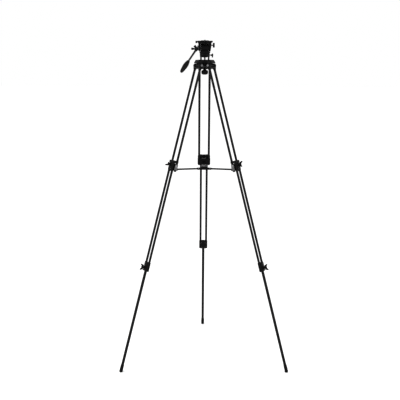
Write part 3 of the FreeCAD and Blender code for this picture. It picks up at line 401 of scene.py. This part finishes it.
def collar_details(leg, matrix):
    """Screws and ribs on a leg's two collars, and side covers and a top plate on the upper one; the top plate's
    lighter steel is a painted highlight on the collar's top face.
    """
    out = matrix.to_3x3() @ Vector((1, 0, 0))
    low, high = span(f"leg_{leg}_mid_collar", matrix)
    middle = (low.z + high.z) / 2
    face = high.x - 5 * MM
    screw_seat = face - 1.4 * MM
    for row, z in enumerate((middle - 12 * MM, middle + 13 * MM)):
        for column, y in enumerate((-12.5 * MM, 12.5 * MM)):
            point = matrix @ Vector((screw_seat, y, z))
            add_screw(f"leg_{leg}_collar_screw_{row}{column}", 2.5 * MM, 2.2 * MM, point, out,
                      f"leg_{leg}", row + column)
    for number in range(4):
        z = middle - 14 * MM + number * 9.3 * MM
        for side in (-1, 1):
            rib = mesh_of(block((1.6 * MM, 8 * MM, 2.2 * MM), 0.5 * MM))
            place = matrix @ Matrix.Translation((COLLAR_INNER_FACE, side * 15 * MM, z))
            place_piece(f"leg_{leg}_collar_rib_{number}{(side + 1) // 2}", rib, f"leg_{leg}",
                        "moulded", place)
    for side in (-1, 1):
        cover = mesh_of(block(COLLAR_COVER, 0.6 * MM))
        place = matrix @ Matrix.Translation((1.6 * MM, side * (high.y + 0.2 * MM), middle))
        place_piece(f"leg_{leg}_collar_cover_{(side + 1) // 2}", cover, f"leg_{leg}", "dark_steel",
                    place)
    # Painted highlight: a thin plate of lighter steel on the collar's top face stands in for the light band that
    # face catches from overhead.
    plate = mesh_of(block(COLLAR_HIGHLIGHT_PLATE, 0.4 * MM))
    place = matrix @ Matrix.Translation((-1.6 * MM, 0, high.z - 0.6 * MM))
    place_piece(f"leg_{leg}_collar_highlight_plate", plate, f"leg_{leg}", "dark_steel", place)
    low, high = span(f"leg_{leg}_lower_collar", matrix)
    for row, z in enumerate((low.z + 9 * MM, high.z - 9 * MM)):
        for column, y in enumerate((-10.5 * MM, 10.5 * MM)):
            point = matrix @ Vector((low.x + 1.2 * MM, y, z))
            add_screw(f"leg_{leg}_lower_screw_{row}{column}", 2.3 * MM, 2.0 * MM, point, -out,
                      f"leg_{leg}_second", row - column)
    for number in range(3):
        rib = mesh_of(block((1.4 * MM, 22 * MM, 2.0 * MM), 0.5 * MM))
        z = (low.z + high.z) / 2 + (number - 1) * 8 * MM
        place = matrix @ Matrix.Translation((low.x + 0.2 * MM, 0, z))
        place_piece(f"leg_{leg}_lower_rib_{number}", rib, f"leg_{leg}_second", "moulded", place)


def yoke_details(leg, matrix):
    """A screw on each of the yoke's tube sockets, and a head on each end of the pivot bolt."""
    out = matrix.to_3x3() @ Vector((1, 0, 0))
    along = matrix.to_3x3() @ Vector((0, 1, 0))
    tubes_low, tubes_high = span(f"leg_{leg}_upper_tubes", matrix)
    low, high = span(f"leg_{leg}_yoke", matrix)
    radius = (tubes_high.x - tubes_low.x) / 2
    for column, y in enumerate((tubes_low.y + radius, tubes_high.y - radius)):
        point = matrix @ Vector((radius + 0.6 * MM, y, low.z + 3.4 * MM))
        add_screw(f"leg_{leg}_yoke_screw_{column}", 1.9 * MM, 1.6 * MM, point, out, f"leg_{leg}")
    for column, side in enumerate((-1, 1)):
        seat = matrix @ Vector((0, side * (high.y + 3.6 * MM), 0))
        add_screw(f"leg_{leg}_bolt_head_{column}", 5.2 * MM, 1.4 * MM, seat, along * side, "crown")


def foot_rings(leg, matrix):
    """Raised rings round the rubber foot."""
    tube_low, tube_high = span(f"leg_{leg}_third_tube", matrix)
    foot_top = span(f"leg_{leg}_foot", matrix)[1].z
    x = (tube_low.x + tube_high.x) / 2
    for number in range(3):
        profile = ring_profile(8.2 * MM, 8.98 * MM, 1.5 * MM)
        z = foot_top - (15 + 4.0 * number) * MM
        mesh = mesh_of(closed_lathe(profile, 40))
        place_piece(f"leg_{leg}_foot_ring_{number}", mesh, f"leg_{leg}_third", "rubber",
                    matrix @ Matrix.Translation((x, 0, z)))


# --------------------------------------------------------------- head and crown


def ring_profile(inner, outer, height):
    """The section of a ring with a rounded outer face."""
    return [(inner, -height / 2), (outer - 0.25 * height, -height / 2), (outer, -height * 0.2),
            (outer, height * 0.2), (outer - 0.25 * height, height / 2), (inner, height / 2)]


def closed_lathe(profile, segments=48):
    """A ring turned about Z from a closed (radius, height) section."""
    bm = bmesh.new()
    rings = []
    for radius, height in profile:
        rings.append([
            bm.verts.new((radius * math.cos(math.tau * i / segments),
                          radius * math.sin(math.tau * i / segments), height))
            for i in range(segments)
        ])
    rings.append(rings[0])
    join_rings(bm, rings)
    return bm


def shaped(profile, reach, segments=96):
    """Rings up a (radius, height) profile; reach(radius, height, angle) moves each point."""
    bm = bmesh.new()
    rings = []
    for radius, height in profile:
        if radius < 1e-7:
            rings.append([bm.verts.new((0, 0, height))])
            continue
        ring = []
        for number in range(segments):
            angle = math.tau * number / segments
            far = reach(radius, height, angle)
            ring.append(bm.verts.new((far * math.cos(angle), far * math.sin(angle), height)))
        rings.append(ring)
    join_rings(bm, rings)
    return bm


def smooth_line(points, steps):
    """Points of a curve through the given points."""
    line = []
    padded = [points[0]] + list(points) + [points[-1]]
    for a, b, c, e in zip(padded, padded[1:], padded[2:], padded[3:]):
        for step in range(steps):
            t = step / steps
            line.append(tuple(
                0.5 * (2 * q + (r - p) * t + (2 * p - 5 * q + 4 * r - s) * t * t
                       + (3 * q - p - 3 * r + s) * t ** 3)
                for p, q, r, s in zip(a, b, c, e)
            ))
    line.append(tuple(points[-1]))
    return line


def rod_matrix():
    """The handle rod's frame: origin at its inner end, +Z towards the grip."""
    points = [v.co for v in frame["nodes"]["handle_rod"].data.vertices]
    middle = sum(p.y for p in points) / len(points)
    near = [p for p in points if p.y < middle]
    far = [p for p in points if p.y >= middle]
    start = sum(near, Vector()) / len(near)
    end = sum(far, Vector()) / len(far)
    return facing(start, (end - start).normalized())


def handle_grip():
    """A rubber grip with shallow flutes, a collar at the rod and a cap at the end."""
    matrix = rod_matrix()
    low, high = span("handle_grip", matrix)
    length = high.z - low.z
    points = [(0.52, 0), (0.56, 0.015), (0.62, 0.05), (0.78, 0.14), (0.93, 0.25), (1.0, 0.36),
              (0.98, 0.48), (0.92, 0.62), (0.82, 0.76), (0.7, 0.87), (0.58, 0.94), (0.46, 0.975),
              (0.28, 0.995)]
    widest = (high.x - low.x) / 2
    curve = smooth_line([(r * widest, low.z + length * z) for r, z in points], 5)
    profile = [(0, low.z)] + curve + [(0, high.z)]

    def fluted(radius, height, angle):
        share = (height - low.z) / length
        depth = 0.55 * MM * max(0.0, min((share - 0.16) * 12, (0.86 - share) * 12, 1.0))
        return radius - depth * max(0.0, math.cos(9 * angle)) ** 3

    mesh = mesh_of(shaped(profile, fluted, 144), 50)
    place_piece("handle_grip_fluted", mesh, "pan_handle", "rubber", matrix, ["handle_grip"])
    rings = (("collar", 0.035, 0.585), ("band", 0.1, 0.735), ("cap", 0.91, 0.66))
    for name, share, radius in rings:
        section = ring_profile(radius * widest - 0.8 * MM, radius * widest + 0.3 * MM, 1.6 * MM)
        ring = mesh_of(closed_lathe(section, 64))
        place_piece(f"handle_grip_{name}", ring, "pan_handle", "rubber",
                    matrix @ Matrix.Translation((0, 0, low.z + length * share)))


def camera_screw():
    """A 1/4 inch screw: a knurled head with a shallow round recess in its underside, a neck and a cut thread."""
    low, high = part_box("camera_screw")
    axis = Matrix.Translation(((low[0] + high[0]) / 2, (low[1] + high[1]) / 2, 0))
    head_radius = (high[0] - low[0]) / 2
    bottom, top = low[2], high[2]
    pitch, major, minor = 1.27 * MM, 3.175 * MM, 2.6 * MM
    thread_length = 5.5 * MM
    thread_start = top - thread_length
    steps = 66
    profile = [(0, thread_start)]
    for number in range(steps + 1):
        height = thread_start + (top - thread_start) * number / steps
        profile.append((major, height))
    profile.append((0, top))

    def threaded(radius, height, angle):
        turn = ((height - thread_start) / pitch - angle / math.tau) % 1.0
        cut = major - (major - minor) * (1 - abs(2 * turn - 1))
        lead = max(0.0, height - (top - 0.7 * MM))
        return min(cut, major - lead)

    mesh = mesh_of(shaped(profile, threaded, 48), 60)
    place_piece("camera_screw_thread", mesh, "plate_screw", "steel", axis)
    neck, neck_top = 2.5 * MM, thread_start + 0.2 * MM
    head = [(0, bottom + 0.8 * MM), (head_radius * 0.3, bottom + 0.8 * MM),
            (head_radius * 0.32, bottom), (head_radius - 0.3 * MM, bottom),
            (head_radius, bottom + 0.3 * MM), (head_radius, bottom + 1.7 * MM),
            (head_radius - 0.3 * MM, bottom + 2 * MM), (neck, bottom + 2 * MM),
            (neck, neck_top), (0, neck_top)]

    def knurled(radius, height, angle):
        if radius < head_radius - 0.1 * MM:
            return radius
        return radius - 0.25 * MM * max(0.0, math.cos(36 * angle))

    mesh = mesh_of(shaped(head, knurled, 216), 40)
    place_piece("camera_screw_head", mesh, "plate_screw", "steel", axis, ["camera_screw"])


def plate_pads():
    """The plate's two rubber pads, with fine ribs across them."""
    low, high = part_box("plate_pads")
    width = high[0] - low[0]
    depth = 32 * MM
    height = high[2] - low[2]
    for name, start in (("front", low[1]), ("back", high[1] - depth)):
        bm = block((width, depth, height * 0.55), 0.2 * MM, 2)
        bmesh.ops.translate(bm, vec=(0, start + depth / 2, low[2] + height * 0.275), verts=bm.verts)
        for number in range(13):
            rib = block((width - 2 * MM, 1.3 * MM, height * 0.6), 0.2 * MM, 2)
            y = start + 2.2 * MM + number * (depth - 4.4 * MM) / 12
            bmesh.ops.translate(rib, vec=(0, y, low[2] + height * 0.7), verts=rib.verts)
            add_to(bm, rib)
        place_piece(f"plate_pad_{name}", mesh_of(bm, 40), "quick_plate", "rubber", None,
                    ["plate_pads"])


def add_to(bm, other):
    """Moves another bmesh's faces into this one."""
    mesh = bpy.data.meshes.new("part")
    other.to_mesh(mesh)
    other.free()
    bm.from_mesh(mesh)
    bpy.data.meshes.remove(mesh)


def bubble_level():
    """The crown's bubble vial: a dark rim and the liquid."""
    low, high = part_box("crown_level")
    centre = Matrix.Translation(((low[0] + high[0]) / 2, (low[1] + high[1]) / 2, high[2]))
    radius = (high[0] - low[0]) / 2
    rim = ring_profile(radius - 1.1 * MM, radius, 1.2 * MM)
    mesh = mesh_of(closed_lathe(rim, 48))
    place_piece("crown_level_rim", mesh, "crown", "dark_steel",
                centre @ Matrix.Translation((0, 0, -0.62 * MM)), ["crown_level"])
    liquid = lathe([(0, -3.4 * MM), (radius - 0.6 * MM, -3.4 * MM), (radius - 0.9 * MM, -0.5 * MM),
                    (radius * 0.5, -0.22 * MM), (0, -0.15 * MM)], 48, 0.2 * MM)
    place_piece("crown_level_liquid", mesh_of(liquid), "crown", "vial", centre)


def knob_of_the_bowl():
    """The clamp knob under the bowl: six rounded lobes that fade into its neck and its end."""
    low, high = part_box("bowl_knob")
    wide = (high[1] - low[1]) / 2
    bottom = low[2]
    points = [(0.34, 0), (0.55, 0.9), (0.74, 3.0), (0.84, 6.5), (0.87, 11), (0.87, 17),
              (0.83, 20.5), (0.68, 22.6), (0.5, 24.2), (0.4, 26.5), (0.34, 30)]
    curve = smooth_line([(r * wide, bottom + z * MM) for r, z in points], 6)
    top = high[2]
    profile = [(0, bottom)] + curve + [(0.32 * wide, top), (0, top)]

    def lobed(radius, height, angle):
        share = (height - bottom) / (26 * MM)
        strength = max(0.0, math.sin(math.pi * min(1.0, max(0.0, share)))) ** 0.7
        wave = math.cos(6 * (angle - math.radians(30)))
        return radius * (1 + 0.13 * strength * (wave if wave < 0 else wave ** 0.8))

    mesh = mesh_of(shaped(profile, lobed, 144), 50)
    place_piece("bowl_knob_lobed", mesh, "bowl_clamp", "moulded", None, ["bowl_knob"])


def head_details():
    """A cap on the tilt axis, the cradle's screws, and a cap on the spreader's hub."""
    low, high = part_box("tilt_cradle")
    axis = Vector(JOINT["tilt"]["pos_m"])
    right = Vector((1, 0, 0))
    cheek_face = 30.6 * MM
    screw_height = low[2] + 42.3 * MM
    cap = lathe([(0, -2.5 * MM), (9.5 * MM, -2.5 * MM), (9.5 * MM, 0.5 * MM), (8.2 * MM, 1.1 * MM),
                 (3.2 * MM, 1.3 * MM), (3.2 * MM, 0.3 * MM), (0, 0.3 * MM)], 48, 0.3 * MM)
    place_piece("tilt_axis_cap", mesh_of(cap), "tilt_head", "casting",
                facing((cheek_face, axis.y, axis.z), right))
    for number in range(4):
        side = -1 if number % 2 else 1
        front = -1 if number < 2 else 1
        point = (side * 20 * MM, front * (high[1] - 0.9 * MM), screw_height)
        add_screw(f"cradle_screw_{number}", 1.5 * MM, 1.2 * MM, point, (0, front, 0), "tilt_head",
                  number)
    hub_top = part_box("spreader_hub")[1][2]
    cap = lathe([(0, -1 * MM), (17 * MM, -1 * MM), (17 * MM, 5 * MM), (15 * MM, 8 * MM),
                 (6 * MM, 9 * MM), (0, 9 * MM)], 48, 1.2 * MM)
    place_piece("hub_cap", mesh_of(cap), "spreader_hub", "dark_steel",
                Matrix.Translation((0, 0, hub_top)))


SOFT_EDGES = {
    "crown_casting": 1.2, "leg_pivot_bolts": 0.8, "half_ball": 0.4,
    "spherical_washer": 0.3, "pan_base": 0.4, "pan_lock_knob": 0.5, "pan_housing": 0.8,
    "tilt_cradle": 1.4, "tilt_lock_knob": 0.7, "top_platform": 0.8, "camera_plate": 0.5,
    "plate_lock_knob": 0.7, "safety_catch": 0.2, "handle_socket": 0.8, "handle_clamp_knob": 0.7,
    "handle_rod": 0.6, "spreader_hub": 0.6, "hub_rivets": 0.35, "spreader_arm_left": 0.5,
    "spreader_arm_right": 0.5, "spreader_arm_rear": 0.5,
}
LEG_SOFT_EDGES = {
    "yoke": 1.4, "mid_collar": 0.8, "mid_lock": 0.8, "slide_bridge": 0.7,
    "lower_collar": 0.8, "lower_lock": 0.8, "foot": 0.8,
}


def soften_all():
    for node, width in SOFT_EDGES.items():
        softened(node, width * MM)
    for leg in LEGS:
        for part, width in LEG_SOFT_EDGES.items():
            softened(f"leg_{leg}_{part}", width * MM)


def dress_cad_nodes():
    """Gives every CAD node its slot's finish."""
    for node, item in frame["nodes"].items():
        item.data.materials.clear()
        item.data.materials.append(MATERIAL[SLOT_OF[node]])


# -------------------------------------------------------------------- stage


def stage():
    """A pale floor under a plain white studio, with soft light from above and both sides."""
    bpy.ops.mesh.primitive_plane_add(size=400)
    floor = bpy.context.object
    floor.name = "floor"
    paper = Finish("pale_floor", (0.88, 0.88, 0.88), 0.95)
    paper.set("Specular IOR Level", 0.0)
    paper.mottle(0.6, 0.99, 1.01)
    floor.data.materials.append(paper.material)

    world = bpy.data.worlds.new("studio")
    bpy.context.scene.world = world
    world.use_nodes = True
    background = world.node_tree.nodes["Background"]
    background.inputs["Color"].default_value = (1, 1, 1, 1)
    background.inputs["Strength"].default_value = 1.0

    add_sun("overhead", 0.9, 40, (math.radians(24), math.radians(-14), 0))
    add_softbox("softbox_left", (-2.9, -1.7, 1.5), (1.2, 1.9), 40)
    add_softbox("softbox_right", (2.9, -1.7, 1.5), (1.2, 1.9), 40)
    bpy.context.scene.view_settings.view_transform = "Standard"
    bpy.context.scene.view_settings.gamma = 0.78


def add_sun(name, strength, angle, rotation):
    light = bpy.data.lights.new(name, "SUN")
    light.energy = strength
    light.angle = math.radians(angle)
    item = bpy.data.objects.new(name, light)
    item.rotation_euler = rotation
    bpy.context.scene.collection.objects.link(item)


def add_softbox(name, place, size, power):
    light = bpy.data.lights.new(name, "AREA")
    light.shape = "RECTANGLE"
    light.size, light.size_y = size
    light.energy = power
    item = bpy.data.objects.new(name, light)
    item.location = place
    aim = Vector((0, 0, 1.3)) - Vector(place)
    item.rotation_euler = aim.to_track_quat("-Z", "Y").to_euler()
    bpy.context.scene.collection.objects.link(item)


def camera():
    """A camera 3.8 m in front of the tripod and 1.53 m up, looking down a little."""
    distance, height = 3.832, 1.534
    azimuth, pitch, roll = 0.011, math.radians(9.5), 0.0039
    yaw_left = math.radians(0.3364)
    heading = azimuth - yaw_left
    forward = Vector((math.sin(heading) * math.cos(pitch), math.cos(heading) * math.cos(pitch),
                      -math.sin(pitch)))
    level = Vector((math.cos(heading), -math.sin(heading), 0))
    above = level.cross(forward)
    right = level * math.cos(roll) + above * math.sin(roll)
    up = right.cross(forward)
    data = bpy.data.cameras.new("camera")
    data.sensor_width = 36
    data.lens = 63.468
    item = bpy.data.objects.new("camera", data)
    matrix = Matrix((right, up, -forward)).transposed().to_4x4()
    matrix.translation = (-distance * math.sin(azimuth), -distance * math.cos(azimuth), height)
    item.matrix_world = matrix
    bpy.context.scene.collection.objects.link(item)
    bpy.context.scene.camera = item


camera()
stage()
dress_cad_nodes()
soften_all()
for leg_name in LEGS:
    leg_details(leg_name)
handle_grip()
camera_screw()
plate_pads()
bubble_level()
knob_of_the_bowl()
head_details()
